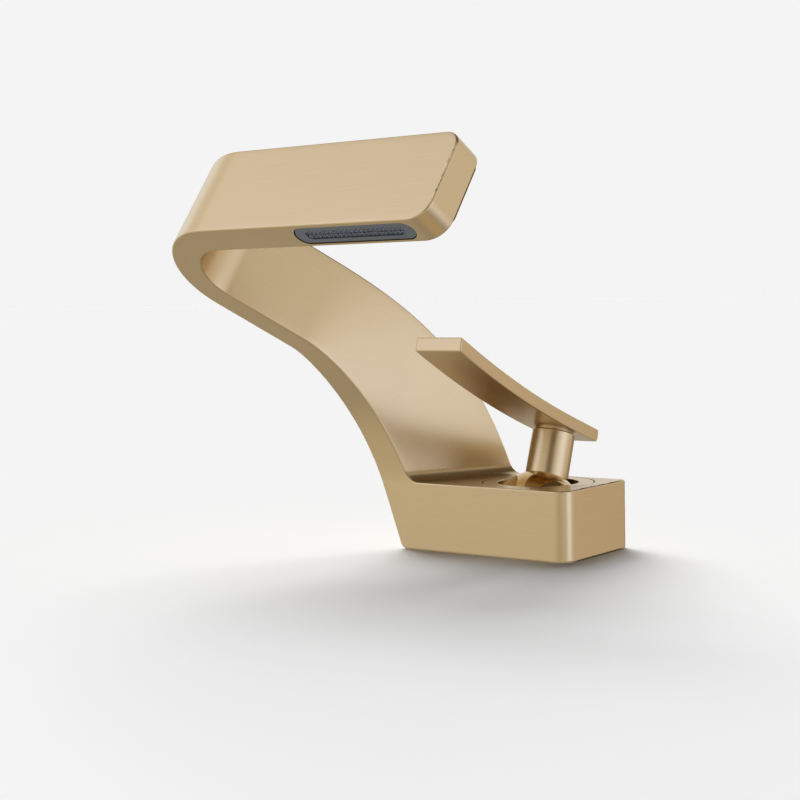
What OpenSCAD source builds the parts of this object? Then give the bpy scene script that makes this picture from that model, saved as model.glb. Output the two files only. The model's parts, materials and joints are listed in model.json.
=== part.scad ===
// Single lever basin faucet: a ribbon shaped spout folded back over its block.
// Sizes in millimetres. X runs right, Y runs back, Z up. The origin is the middle
// of the block's underside. The user stands on the -Y side.

/* [Base block] */
// Length of the block along its front
base_l = 79.2; // [72:0.4:92]
// Depth of the block from front to back
base_d = 48; // [48:0.5:56]
// Height of the block
base_h = 28; // [28:0.25:34]
// Radius of the block's upright corner in front, at the lever end
base_corner_r = 6; // [2:0.5:9]
// Radius of the block's upright corner behind it
base_back_r = 2.5; // [1:0.5:9]
// Distance from the block's lever end to the cartridge axis
cartridge_inset = 27.5; // [26:0.25:32]

/* [Spout ribbon] */
// Thickness of the ribbon along the slab, the bend and the arm
ribbon_t = 12.2; // [11:0.1:15]
// Width of the ribbon along the slab, the bend and the arm
ribbon_w = 39.2; // [34:0.2:46]
// Tilt of the slab's face from level, front edge down
slab_tilt = 53.2; // [40:0.1:65]
// How far the slab's front edge stands in front of the block's middle
spout_reach = 108.3; // [95:0.1:125]
// Height of the slab's front edge, at mid thickness
spout_height = 126.1; // [110:0.1:145]
// Straight length of the slab, from the bend to its free end
slab_l = 104.4; // [90:0.1:120]
// Inner radius of the hairpin bend
bend_r = 18; // [12:0.5:22]
// Angle between the slab and the arm, seen along the ribbon's width
arm_angle = 60; // [50:0.1:68]
// Straight length of the arm below the bend
arm_l = 35.7; // [25:0.1:50]
// Radius of the slab's lower free corner
end_front_r = 8.5; // [6:0.5:14]
// Radius of the slab's upper free corner
end_back_r = 7; // [2:0.5:8]
// How much further right the slab's free end reaches on its inner face
end_splay = 1.8; // [0:0.1:3]
// Small bevel on the ribbon's long edges
ribbon_bevel = 0.4; // [0.2:0.1:1]

/* [Spout foot] */
// Thickness of the foot, measured along the block's front
foot_t = 14.1; // [12:0.1:18]
// How far the foot's back edge lies to the right of its front edge
foot_sweep = 20.9; // [10:0.1:24]
// Sideways run of the foot to the left for each unit of height
foot_lean = 0.36; // [0.1:0.01:0.45]
// Height at which the foot starts to twist
foot_rise = 24.3; // [18:0.1:28]
// Radius of the hollow corner between the foot and the block's top
crease_r = 6.5; // [3:0.25:9]
// Pull of the twist's front edge where it leaves the foot
pull_foot_front = 97; // [60:1:150]
// Pull of the twist's back edge where it leaves the foot
pull_foot_back = 150; // [80:1:180]
// Pull of the twist's front edge where it meets the arm
pull_arm_front = 34; // [20:1:60]
// Pull of the twist's back edge where it meets the arm
pull_arm_back = 118; // [80:1:140]

/* [Waterway] */
// Height of the flat waterway through the ribbon
water_t = 4; // [3:0.25:5]
// Metal left between the waterway and the ribbon's long edges
water_wall = 5; // [4:0.25:7]

/* [Connections underneath] */
// Drilled radius of an M10 x 1 inlet thread
inlet_r = 4.5; // [4.45:0.05:4.75]
// Metal left between an inlet thread and the cartridge's seat
inlet_roof = 1.5; // [1.25:0.25:2.5]
// Distance of each inlet from the cartridge axis, sideways
inlet_x = 7; // [6.5:0.25:8]
// Distance of each inlet behind the cartridge axis
inlet_y = 4.5; // [4:0.25:5]
// Drilled radius of the M8 stud thread
stud_r = 3.4; // [3.3:0.05:3.5]
// Metal left between the stud thread and the cartridge's seat
stud_roof = 2.1; // [1.25:0.05:2.5]
// Distance of the stud in front of the cartridge axis
stud_y = 13.2; // [12.8:0.1:13.4]
// Outer radius of the groove for the base seal
base_seal_r = 20; // [19.5:0.1:20.5]
// Width of the base seal
base_seal_w = 2.4; // [1.5:0.1:2.6]
// Depth of the base seal
base_seal_t = 1.5; // [1:0.1:1.6]

/* [Trim ring] */
// Outer radius of the trim ring
ring_r = 22.7; // [22.2:0.05:22.8]
// Open gap between the trim ring's hole and the dome, at the ring's underside
ring_gap = 0.75; // [0.6:0.05:1.2]
// Thickness of the trim ring
ring_t = 2.2; // [2:0.1:3]
// Section radius of the trim ring's seal
ring_seal_r = 0.5; // [0.4:0.05:0.6]
// Free room round the dome's skirt, in the hollow under the trim ring
dome_room_gap = 2.1; // [1.9:0.1:2.3]
// Depth of that hollow's floor below the block's top
dome_room_depth = 8.4; // [8.2:0.1:8.6]

/* [Cartridge] */
// Depth of the cartridge's seat below the block's top
bay_depth = 19.5; // [19.25:0.05:19.6]
// Radius of the cartridge housing
housing_r = 12.45; // [12.3:0.05:12.6]
// Inner radius of the cartridge housing
housing_bore_r = 10.2; // [10.1:0.05:10.4]
// Radius of the housing's flange
flange_r = 14.6; // [14.2:0.1:14.8]
// Height of the step that carries the flange, above the seat
flange_rise = 6.5; // [6:0.25:6.75]
// Thickness of the flange
flange_t = 1.6; // [1.2:0.1:1.8]
// Height of the housing's top above the seat
housing_h = 13.4; // [13.3:0.1:13.7]
// Thickness of the housing's top lip
lip_t = 1.5; // [1.2:0.1:1.6]
// Thickness of the cartridge's bottom plate
bottom_t = 2; // [1.8:0.1:2.1]
// Radius of the ports through the bottom plate and the fixed disc
port_r = 2.1; // [1.8:0.05:2.2]
// Sideways distance of each inlet port from the axis
port_x = 5.2; // [5:0.1:5.4]
// Distance of the inlet ports behind the axis
port_back_y = 3; // [2.8:0.1:3.2]
// Distance of the outlet port in front of the axis
port_front_y = 5.6; // [5.4:0.1:5.8]
// Section radius of a port seal
port_seal_r = 0.45; // [0.4:0.05:0.5]
// Radius of a locating peg under the bottom plate
peg_r = 1; // [0.8:0.1:1.1]
// Length of a locating peg
peg_l = 1; // [0.8:0.05:1.05]
// Distance of the locating pegs from the axis
peg_x = 10.2; // [10:0.1:10.4]
// Radius of the fixed ceramic disc
fixed_disc_r = 9.9; // [9.6:0.05:10]
// Thickness of the fixed ceramic disc
fixed_disc_t = 1.8; // [1.6:0.1:2]
// Radius of the moving ceramic disc
moving_disc_r = 7.9; // [7.6:0.1:8]
// Thickness of the moving ceramic disc
moving_disc_t = 1.6; // [1.5:0.05:1.7]
// Depth of the mixing pocket under the moving disc
pocket_t = 0.9; // [0.6:0.05:1]
// Thickness of the carrier on the moving disc
carrier_t = 2.1; // [2:0.05:2.2]
// Half width of the carrier between its flats
carrier_flat = 6.5; // [6.2:0.05:6.6]
// Radius of the rotor's wide part
rotor_r = 10.1; // [9.9:0.05:10.15]
// Radius of the rotor's neck
rotor_neck_r = 8.2; // [8:0.1:8.3]
// Height of the rotor's underside above the seat
rotor_rise = 7.8; // [7.75:0.05:7.9]
// Height of the spindle's pivot above the seat
pivot_rise = 11; // [10.8:0.1:11.2]
// Radius of the pivot pin
pivot_r = 1.25; // [1.1:0.05:1.3]
// Radius of the spindle's ball end
ball_r = 1.5; // [1.3:0.05:1.5]
// Distance of the ball end below the pivot
ball_arm = 3.9; // [3.6:0.05:3.95]
// Side of the square spindle
spindle_w = 5; // [4.6:0.1:5.2]
// Height of the spindle's top above the pivot
spindle_top = 22.5; // [21:0.5:23]
// Height of the lock nut
nut_h = 4.9; // [4.5:0.1:5]
// Thickness of the limiter ring
limiter_t = 0.8; // [0.6:0.05:0.9]

/* [Handle] */
// Lean of the post from upright, as the handle stands open
open_lean = 19; // [10:0.5:19]
// Radius of the post
post_r = 8.8; // [8.5:0.1:9.2]
// Distance of the post's axis behind the pivot
post_offset = 3; // [2.5:0.1:3.3]
// Height of the lever's underside above the pivot
lever_base = 31.1; // [29.5:0.1:34]
// Open joint between the post and the lever's underside
neck_h = 1.2; // [0.8:0.1:1.6]
// Radius of the lever's neck inside that joint
neck_r = 7.7; // [6.5:0.1:8]
// Width of the lever
lever_w = 20.5; // [18:0.5:24]
// Thickness of the lever
lever_t = 5.2; // [4.8:0.1:6]
// Length of the lever in front of the pivot
lever_front = 87; // [70:1:92]
// Length of the lever behind the pivot
lever_tail = 21.3; // [18:0.1:24]
// Radius of the lever's upward curve
lever_curve_r = 520; // [350:5:700]
// Radius of the polished dome
dome_r = 20; // [19.8:0.05:20]
// Height of the post's foot above the pivot
post_foot = 10.7; // [10.5:0.1:11]
// Distance of the dome's centre behind the pivot, with the post upright
dome_shift = 1; // [0.8:0.1:1.2]
// How far the dome's skirt reaches below the trim ring
skirt_drop = 1.2; // [1:0.1:1.4]
// Thickness of the dome's skirt
dome_t = 1; // [0.8:0.1:1.1]
// Radius of the post's spigot through the dome
spigot_r = 7.4; // [7.2:0.1:7.6]
// Radius of the bush round the spindle
bush_r = 4.6; // [4.4:0.05:4.7]
// Radius of the set screw
set_screw_r = 2; // [1.75:0.25:2]
// Radius of the stud between post and lever
lever_stud_r = 3; // [2.5:0.25:3]

/* [Outlet] */
// Length of the outlet's pocket
outlet_l = 53.4; // [44:0.2:56]
// Height of the outlet's pocket
outlet_h = 9.2; // [8.6:0.1:9.4]
// Depth of the outlet's pocket
outlet_depth = 9; // [8.6:0.1:9.4]
// Distance of the pocket's middle from the slab's free end
outlet_inset = 34.3; // [32:0.1:40]
// Even gap round the outlet frame
outlet_gap = 0.25; // [0.15:0.05:0.3]
// How far the outlet frame sits below the slab's edge
outlet_sink = 0.3; // [0.1:0.05:0.5]
// Width of the outlet frame's rim
rim_w = 1.15; // [0.9:0.05:1.3]
// Thickness of the outlet gasket
gasket_t = 0.8; // [0.6:0.05:1]
// Thickness of the flow screen
screen_t = 0.6; // [0.5:0.05:0.8]
// Number of jets in each row
jet_count = 22; // [14:1:24]
// Bore radius of a jet
jet_r = 0.5; // [0.4:0.05:0.55]
// Outer radius of a jet's nose
jet_nose_r = 0.85; // [0.75:0.05:0.9]
// Distance between the two rows of jets
jet_row = 2.6; // [2.2:0.1:2.8]

/* [Hidden] */
$fn = 72;

// Colours
gold = [0.79, 0.67, 0.48];
polished_gold = [0.72, 0.58, 0.36];
raw_brass = [0.71, 0.63, 0.33];
steel = [0.75, 0.76, 0.78];
rubber = [0.12, 0.12, 0.13];
pale_plastic = [0.87, 0.87, 0.84];
red_plastic = [0.75, 0.16, 0.14];
ceramic = [0.94, 0.93, 0.89];
slate = [0.33, 0.35, 0.37];

// One overrun for every cut, and one running gap and one seat gap
over = base_h / 28;
run_gap = base_h / 140;
seat_gap = base_h / 560;

// Counts of the steps along curved stretches
bend_steps = 20;
twist_steps = 26;
curve_steps = 16;
corner_steps = 8;

cart_x = base_l / 2 - cartridge_inset;
slab_end = base_l / 2;
bend_x = slab_end - slab_l;
bend_mid_r = bend_r + ribbon_t / 2;
// How early the ribbon's thickness turns into the foot's
thickness_turn_share = 0.5;

seat_z = base_h - bay_depth;
flange_z = seat_z + flange_rise;
housing_top_z = seat_z + housing_h;
rotor_z = seat_z + rotor_rise;
pivot_z = seat_z + pivot_rise;
dome_room_z = base_h - dome_room_depth;
inlet_depth = seat_z - inlet_roof;
stud_depth = seat_z - stud_roof;
// The cast passage lies between the underside and the seat
passage_z_share = 0.565;
passage_r_share = 0.306;
passage_z = seat_z * passage_z_share;
passage_r = seat_z * passage_r_share;

disc_z = seat_z + bottom_t;
moving_z = disc_z + fixed_disc_t + seat_gap / 2;
carrier_z = moving_z + moving_disc_t;
rotor_shoulder_z = housing_top_z - lip_t - run_gap;
rotor_top_z = housing_top_z + limiter_t;
nut_z = flange_z + flange_t + seat_gap;
nut_r = flange_r + run_gap;
nut_bore_r = nut_r + run_gap / 2;
bay_r = housing_r + run_gap / 2;
disc_rest_y = -ball_arm * sin(open_lean);

post_top = lever_base - neck_h;
// The dome's ball lies so low that the whole foot of the post meets it
dome_reach_y = post_offset + post_r - dome_shift;
dome_drop = sqrt(dome_r * dome_r - dome_reach_y * dome_reach_y) - post_foot;
ring_low = base_h - ring_t - pivot_z + dome_drop;
dome_angle = acos((ring_low - skirt_drop) / dome_r);
ring_hole_r = sqrt(dome_r * dome_r - ring_low * ring_low) + ring_gap;
dome_room_r = dome_r * sin(dome_angle) + dome_drop * sin(open_lean / 2) + dome_room_gap;
clip_t = dome_t * 0.8;
crown_z = post_foot - clip_t - dome_t / 2;
spigot_l = post_foot - crown_z + clip_t * 2;
bush_bottom = post_foot + dome_t;
bush_top = spindle_top + dome_t;
set_screw_z = (bush_bottom + bush_top) / 2;

frame_r = outlet_h / 2 - outlet_gap;
outlet_x = slab_end - outlet_inset;
outlet_half = outlet_l / 2 - outlet_h / 2;
strip_r = frame_r - rim_w;
screen_w = outlet_depth - gasket_t - screen_t;
strip_face = outlet_sink + rim_w;
strip_back = screen_w - rim_w * 2;

// Directions of the slab: along its width and through its thickness
across = [0, cos(slab_tilt), sin(slab_tilt)];
through = [0, -sin(slab_tilt), cos(slab_tilt)];
slab_corner = [0, -spout_reach, spout_height];

function mix(a, b, s) = a * (1 - s) + b * s;
function ease(s) = s * s * (3 - 2 * s);
function unit(v) = v / norm(v);
function curve(a, ta, b, tb, s) =
    a * (2 * s * s * s - 3 * s * s + 1) + ta * (s * s * s - 2 * s * s + s)
    + b * (3 * s * s - 2 * s * s * s) + tb * (s * s * s - s * s);

// A station is the middle of the ribbon's front edge, the middle of its back edge
// and the step through its thickness, from the outer to the inner face.
function slab_station(x) =
    let (p = slab_corner + [x, 0, 0]) [p, p + across * ribbon_w, -through * ribbon_t];

bend_mid = slab_corner + [bend_x, 0, 0] - through * bend_mid_r;
function bend_out(a) = through * cos(a) - [sin(a), 0, 0];
function bend_station(a) =
    let (p = bend_mid + bend_out(a) * bend_mid_r)
    [p, p + across * ribbon_w, -bend_out(a) * ribbon_t];

bend_turn = 180 - arm_angle;
arm_way = [cos(arm_angle), 0, 0] - through * sin(arm_angle);
arm_top = bend_station(bend_turn);
function arm_station(run) = [arm_top[0] + arm_way * run, arm_top[1] + arm_way * run, arm_top[2]];

arm_end = arm_station(arm_l);
foot_front = [-base_l / 2 + foot_t / 2, -base_d / 2, 0];
foot_back = foot_front + [foot_sweep, base_d, 0];
foot_way = [foot_lean, 0, -1];
function foot_station(z) = [foot_front - foot_way * z, foot_back - foot_way * z, [foot_t, 0, 0]];

foot_top = foot_station(foot_rise);
function twist_station(s) = [
    curve(arm_end[0], arm_way * pull_arm_front, foot_top[0], foot_way * pull_foot_front, s),
    curve(arm_end[1], arm_way * pull_arm_back, foot_top[1], foot_way * pull_foot_back, s),
    mix(arm_end[2], foot_top[2], ease(pow(s, thickness_turn_share)))
];

// The slab's free end: its two corners turn together, from 0 degrees to 90 at the end
function end_station(a) =
    let (s = 1 - sin(a), c = 1 - cos(a), end = slab_corner + [slab_end + end_splay / 2, 0, 0])
    [
        end - [end_front_r * s, 0, 0] + across * end_front_r * c,
        end - [end_back_r * s, 0, 0] + across * (ribbon_w - end_back_r * c),
        [end_splay, 0, 0] - through * ribbon_t
    ];

function ribbon_stations(last_z) = concat(
    [slab_station(bend_x)],
    [for (i = [1:bend_steps]) bend_station(bend_turn * i / bend_steps)],
    [arm_end],
    [for (i = [1:twist_steps]) twist_station(i / twist_steps)],
    [foot_station(last_z)]
);

// Eight corner points round a station, bevelled
function ring_points(st, bevel) =
    let (n = unit(st[2]), w = unit(st[1] - st[0]), h = st[2] / 2, f = st[0], b = st[1])
    [
        f - h + w * bevel, f - h + n * bevel, f + h - n * bevel, f + h + w * bevel,
        b + h - w * bevel, b + h - n * bevel, b - h + n * bevel, b - h - w * bevel
    ];

// The station of the waterway inside a station of the ribbon
function water_station(st) =
    let (w = unit(st[1] - st[0]))
    [st[0] + w * water_wall, st[1] - w * water_wall, unit(st[2]) * water_t];

// A closed skin through rings that all have the same number of points
module skin(rings) {
    n = len(rings[0]);
    m = len(rings);
    points = [for (r = rings) for (p = r) p];
    sides = [for (i = [0:m - 2]) for (j = [0:n - 1])
        let (a = i * n + j, b = i * n + (j + 1) % n)
        each [[a, b, b + n], [a, b + n, a + n]]];
    first = [for (j = [1:n - 2]) [0, j + 1, j]];
    last = [for (j = [1:n - 2]) [(m - 1) * n, (m - 1) * n + j, (m - 1) * n + j + 1]];
    polyhedron(points = points, faces = concat(first, sides, last));
}

module at_cartridge() {
    translate([cart_x, 0, 0]) children();
}

// The handle's own space: origin at the pivot, post upright along Z
module handle_space() {
    translate([cart_x, 0, pivot_z]) rotate([-open_lean, 0, 0]) children();
}

// The slab's own space: X along it, Y across its width, Z through its thickness
module slab_space() {
    translate(slab_corner) rotate([slab_tilt, 0, 0]) children();
}

module tube(r_out, r_in, h) {
    difference() {
        cylinder(r = r_out, h = h);
        translate([0, 0, -over]) cylinder(r = r_in, h = h + over * 2);
    }
}

// A long round-ended shape, drawn along X
module long_shape(half, r) {
    union() {
        square([half * 2, r * 2], center = true);
        translate([half, 0]) circle(r = r);
        translate([-half, 0]) circle(r = r);
    }
}

// The same, as a solid that starts at depth w behind the slab's front edge
module outlet_solid(w, r, depth) {
    slab_space() translate([outlet_x, w + depth, 0]) rotate([90, 0, 0])
        linear_extrude(depth) long_shape(outlet_half, r);
}

module ribbon() {
    corner = [for (i = [0:corner_steps]) end_station(90 - 90 * i / corner_steps)];
    skin([for (st = concat(corner, ribbon_stations(0))) ring_points(st, ribbon_bevel)]);
}

module block() {
    half_d = base_d / 2;
    tuck = foot_t / 7;
    left_front = -base_l / 2 + tuck;
    left_back = left_front + foot_sweep;
    front_r = base_corner_r;
    right = base_l / 2;
    linear_extrude(base_h) union() {
        polygon([[left_front, -half_d], [right - front_r, -half_d], [right, front_r - half_d],
            [right, half_d - base_back_r], [right - base_back_r, half_d], [left_back, half_d]]);
        translate([right - front_r, front_r - half_d]) circle(r = front_r);
        translate([right - base_back_r, half_d - base_back_r]) circle(r = base_back_r);
    }
}

// The hollow fillet where the foot rises from the block's top
module crease() {
    turn = 90 - atan(foot_lean);
    run = crease_r * tan(turn / 2);
    low = base_h - seat_gap / 2;
    line = [for (i = [0:curve_steps / 2]) let (a = -90 - turn * i * 2 / curve_steps)
        [run + crease_r * cos(a), crease_r + crease_r * sin(a)]];
    deep = -crease_r / 3;
    side = concat([[deep, deep], [run, deep]], line, [[deep, line[curve_steps / 2][1]]]);
    rings = [for (p = [foot_front, foot_back]) [for (q = side)
        p + [foot_t / 2 - foot_lean * low + q[0], 0, low + q[1]]]];
    skin(rings);
}

module ports(z, h, r) {
    translate([0, -port_front_y, z]) cylinder(r = r, h = h);
    for (side = [-1, 1]) translate([side * port_x, port_back_y, z]) cylinder(r = r, h = h);
}

module pegs(z, h, r) {
    for (side = [-1, 1]) translate([side * peg_x, 0, z]) cylinder(r = r, h = h);
}

module cartridge_bay() {
    translate([0, 0, base_h - ring_t]) cylinder(r = ring_r + run_gap, h = ring_t + over);
    translate([0, 0, dome_room_z]) cylinder(r = dome_room_r, h = base_h - dome_room_z);
    translate([0, 0, flange_z]) cylinder(r = nut_bore_r, h = base_h - flange_z);
    translate([0, 0, seat_z]) cylinder(r = bay_r, h = base_h - seat_z);
    for (side = [-1, 1]) {
        translate([side * inlet_x, inlet_y, -over]) cylinder(r = inlet_r, h = inlet_depth + over);
        translate([side * port_x, port_back_y, inlet_depth - over])
            cylinder(r = port_r, h = seat_z - inlet_depth + over * 2);
    }
    pegs(seat_z - peg_l - run_gap, peg_l + over, peg_r + run_gap / 2);
    translate([0, -port_front_y, passage_z]) cylinder(r = port_r, h = seat_z - passage_z + over);
    translate([0, -stud_y, -over]) cylinder(r = stud_r, h = stud_depth + over);
    translate([0, 0, -over]) base_seal_ring(base_seal_t + over, 0);
}

module waterway() {
    line = concat([slab_station(slab_end - water_wall)],
        ribbon_stations(passage_z - passage_r / 2));
    skin([for (st = line)
        let (w = water_station(st), h = w[2] / 2)
        [w[0] - h, w[0] + h, w[1] + h, w[1] - h]]);
}

module base_seal_ring(h, gap) {
    translate([0, -(stud_y - inlet_x) / 4, 0])
        tube(base_seal_r - gap, base_seal_r - base_seal_w + gap, h);
}

// The passage runs left from the cartridge's outlet port to the waterway in the foot
module outlet_passage() {
    share = 0.5 - port_front_y / base_d;
    far_x = foot_front[0] + foot_sweep * share;
    translate([far_x, -port_front_y, passage_z]) rotate([0, 90, 0])
        cylinder(r = passage_r, h = cart_x + passage_r - far_x);
}

module body() {
    color(gold) difference() {
        union() {
            ribbon();
            block();
            crease();
        }
        waterway();
        at_cartridge() cartridge_bay();
        outlet_passage();
        outlet_solid(-over, outlet_h / 2, outlet_depth + over);
    }
}

module base_seal() {
    color(rubber) at_cartridge() base_seal_ring(base_seal_t, seat_gap);
}

module trim_ring() {
    groove = ring_seal_r * 1.8;
    color(gold) at_cartridge() translate([0, 0, base_h - ring_t]) difference() {
        tube(ring_r, ring_hole_r, ring_t);
        translate([0, 0, ring_t / 2 - ring_seal_r])
            tube(ring_r + over, ring_r - groove, ring_seal_r * 2);
    }
}

module ring_seal() {
    color(rubber) at_cartridge() translate([0, 0, base_h - ring_t / 2])
        rotate_extrude() translate([ring_r + run_gap - ring_seal_r - seat_gap, 0])
            circle(r = ring_seal_r - seat_gap / 2, $fn = 24);
}

module lock_nut() {
    slot = nut_h / 3;
    color(raw_brass) at_cartridge() translate([0, 0, nut_z]) difference() {
        tube(nut_r, housing_r + run_gap, nut_h);
        for (turn = [0, 90]) rotate([0, 0, turn])
            translate([-nut_r - over, -slot / 2, nut_h - slot])
                cube([nut_r * 2 + over * 2, slot, slot + over]);
    }
}

module cartridge_housing() {
    h = housing_top_z - disc_z - seat_gap;
    color(pale_plastic) at_cartridge() translate([0, 0, disc_z + seat_gap]) difference() {
        union() {
            cylinder(r = housing_r, h = h);
            translate([0, 0, flange_z + seat_gap / 2 - disc_z - seat_gap])
                cylinder(r = flange_r, h = flange_t);
        }
        translate([0, 0, -over]) cylinder(r = housing_bore_r, h = h - lip_t + over);
        translate([0, 0, -over]) cylinder(r = rotor_neck_r + run_gap, h = h + over * 2);
    }
}

module cartridge_bottom() {
    seat_r = port_r + port_seal_r / 2;
    groove_w = port_seal_r * 2 + run_gap * 1.5;
    color(pale_plastic) at_cartridge() difference() {
        union() {
            translate([0, 0, seat_z]) cylinder(r = housing_r, h = bottom_t);
            pegs(seat_z - peg_l, peg_l + over / 2, peg_r);
        }
        ports(seat_z - over, bottom_t + over * 2, port_r);
        difference() {
            ports(seat_z - over, port_seal_r * 2 + seat_gap + over, seat_r + groove_w);
            ports(seat_z - over * 2, port_seal_r * 2 + seat_gap + over * 3, seat_r);
        }
    }
}

module port_seals() {
    r = port_r + port_seal_r * 1.5 + run_gap * 0.75;
    color(rubber) at_cartridge() for (p = [[0, -port_front_y], [-port_x, port_back_y],
        [port_x, port_back_y]])
        translate([p[0], p[1], seat_z + port_seal_r + seat_gap / 2]) rotate_extrude()
            translate([r, 0]) circle(r = port_seal_r, $fn = 24);
}

module fixed_disc() {
    color(ceramic) at_cartridge() difference() {
        translate([0, 0, disc_z]) cylinder(r = fixed_disc_r, h = fixed_disc_t);
        ports(disc_z - over, fixed_disc_t + over * 2, port_r);
    }
}

module limiter_ring() {
    color(red_plastic) at_cartridge() translate([0, 0, housing_top_z])
        tube(housing_bore_r, rotor_neck_r + run_gap * 1.5, limiter_t);
}

module rotor() {
    slot_x = spindle_w / 2 + run_gap;
    slot_y = rotor_neck_r - pivot_r;
    leg_in = carrier_flat + run_gap * 1.5;
    leg_out = rotor_neck_r + run_gap;
    color(slate) at_cartridge() difference() {
        union() {
            translate([0, 0, rotor_z]) cylinder(r = rotor_r, h = rotor_shoulder_z - rotor_z);
            translate([0, 0, rotor_z]) cylinder(r = rotor_neck_r, h = rotor_top_z - rotor_z);
            for (side = [0, 180]) rotate([0, 0, side])
                translate([leg_in, -carrier_t, carrier_z + carrier_t / 4])
                    cube([leg_out - leg_in, carrier_t * 2, rotor_z - carrier_z]);
        }
        translate([-slot_x, -slot_y, rotor_z - over])
            cube([slot_x * 2, slot_y * 2, rotor_top_z - rotor_z + over * 2]);
        translate([-rotor_r - over, 0, pivot_z]) rotate([0, 90, 0])
            cylinder(r = pivot_r + seat_gap / 5, h = rotor_r * 2 + over * 2);
    }
}

module pivot_pin() {
    l = rotor_neck_r - run_gap;
    color(steel) at_cartridge() translate([-l, 0, pivot_z]) rotate([0, 90, 0])
        cylinder(r = pivot_r, h = l * 2);
}

module moving_disc() {
    core_r = port_front_y - port_r - run_gap;
    lobe_r = moving_disc_r - port_r / 2;
    color(ceramic) at_cartridge() translate([0, disc_rest_y, moving_z]) difference() {
        cylinder(r = moving_disc_r, h = moving_disc_t);
        translate([0, 0, -over]) linear_extrude(pocket_t + over) union() {
            circle(r = core_r);
            intersection() {
                circle(r = lobe_r);
                translate([-lobe_r, core_r / 4]) square([lobe_r * 2, lobe_r]);
            }
        }
    }
}

module disc_carrier() {
    color(slate) at_cartridge() translate([0, disc_rest_y, carrier_z]) difference() {
        intersection() {
            cylinder(r = moving_disc_r, h = carrier_t);
            translate([-carrier_flat, -moving_disc_r, 0])
                cube([carrier_flat * 2, moving_disc_r * 2, carrier_t]);
        }
        translate([0, 0, seat_gap * 2]) cylinder(r = ball_r + run_gap, h = carrier_t);
    }
}

module spindle() {
    half = spindle_w / 2;
    color(steel) handle_space() difference() {
        union() {
            translate([-half, -half, -half]) cube([spindle_w, spindle_w, spindle_top + half]);
            translate([0, 0, -ball_arm]) cylinder(r = ball_r * 0.7, h = ball_arm - half + over / 2);
            translate([0, 0, -ball_arm]) sphere(r = ball_r);
        }
        translate([-spindle_w, 0, 0]) rotate([0, 90, 0])
            cylinder(r = pivot_r + seat_gap, h = spindle_w * 2);
    }
}

module set_screw_hole(r) {
    translate([0, spindle_w / 2, set_screw_z]) rotate([-90, 0, 0])
        cylinder(r = r, h = post_offset + post_r);
}

module spindle_bush() {
    hole = spindle_w + seat_gap * 2;
    color(raw_brass) handle_space() difference() {
        translate([0, 0, bush_bottom]) cylinder(r = bush_r, h = bush_top - bush_bottom);
        translate([-hole / 2, -hole / 2, bush_bottom - over])
            cube([hole, hole, spindle_top + seat_gap - bush_bottom + over]);
        set_screw_hole(set_screw_r + seat_gap);
    }
}

module dome_cap() {
    cut = dome_r * cos(dome_angle);
    color(polished_gold) handle_space() difference() {
        translate([0, dome_shift, -dome_drop]) rotate([open_lean / 2, 0, 0]) intersection() {
            sphere(r = dome_r);
            translate([0, 0, cut]) cylinder(r = dome_r, h = dome_r);
        }
        intersection() {
            translate([0, dome_shift, -dome_drop]) sphere(r = dome_r - dome_t);
            translate([0, dome_shift, crown_z - dome_r * 2]) cylinder(r = dome_r * 2, h = dome_r * 2);
        }
        translate([0, post_offset, post_foot]) cylinder(r = post_r + seat_gap * 3, h = dome_r);
        translate([0, post_offset, crown_z - over])
            cylinder(r = spigot_r + seat_gap, h = post_foot - crown_z + over * 2);
    }
}

module dome_clip() {
    gap_w = spigot_r / 2;
    color(steel) handle_space()
        translate([0, post_offset, crown_z - clip_t - seat_gap]) difference() {
            tube(spigot_r + dome_t, spigot_r - dome_t / 2 + seat_gap, clip_t);
            translate([0, -gap_w / 2, -over]) cube([spigot_r * 2, gap_w, clip_t + over * 2]);
        }
}

module handle_post() {
    groove_z = crown_z - clip_t - seat_gap * 2;
    hole = spindle_w + run_gap * 2;
    color(gold) handle_space() difference() {
        translate([0, post_offset, 0]) union() {
            translate([0, 0, post_foot]) cylinder(r = post_r, h = post_top - post_foot);
            translate([0, 0, post_foot - spigot_l]) difference() {
                cylinder(r = spigot_r, h = spigot_l + over);
                translate([0, 0, groove_z - post_foot + spigot_l])
                    tube(spigot_r + over, spigot_r - dome_t / 2, clip_t + seat_gap * 2);
            }
        }
        translate([0, 0, bush_bottom]) cylinder(r = bush_r + seat_gap / 2, h = bush_top - bush_bottom);
        translate([-hole / 2, -hole / 2, 0]) cube([hole, hole, bush_bottom + over]);
        set_screw_hole(set_screw_r + seat_gap);
        lever_stud_solid(seat_gap / 2, seat_gap);
    }
}

module set_screw() {
    socket = set_screw_r * 0.55;
    l = post_r + post_offset - spindle_w / 2 - set_screw_r;
    color(steel) handle_space() translate([0, spindle_w / 2 + seat_gap, set_screw_z])
        rotate([-90, 0, 0]) difference() {
            cylinder(r = set_screw_r, h = l);
            translate([0, 0, l - set_screw_r]) cylinder(r = socket, h = set_screw_r + over, $fn = 6);
        }
}

// The stud sits on the post's axis and screws into the lever from below
module lever_stud_solid(gap, end_gap) {
    bottom = bush_top + dome_t;
    top = lever_base + lever_t * 0.6;
    translate([0, post_offset, bottom - end_gap])
        cylinder(r = lever_stud_r + gap, h = top - bottom + end_gap * 2);
}

module lever_stud() {
    color(steel) handle_space() lever_stud_solid(0, 0);
}

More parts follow.
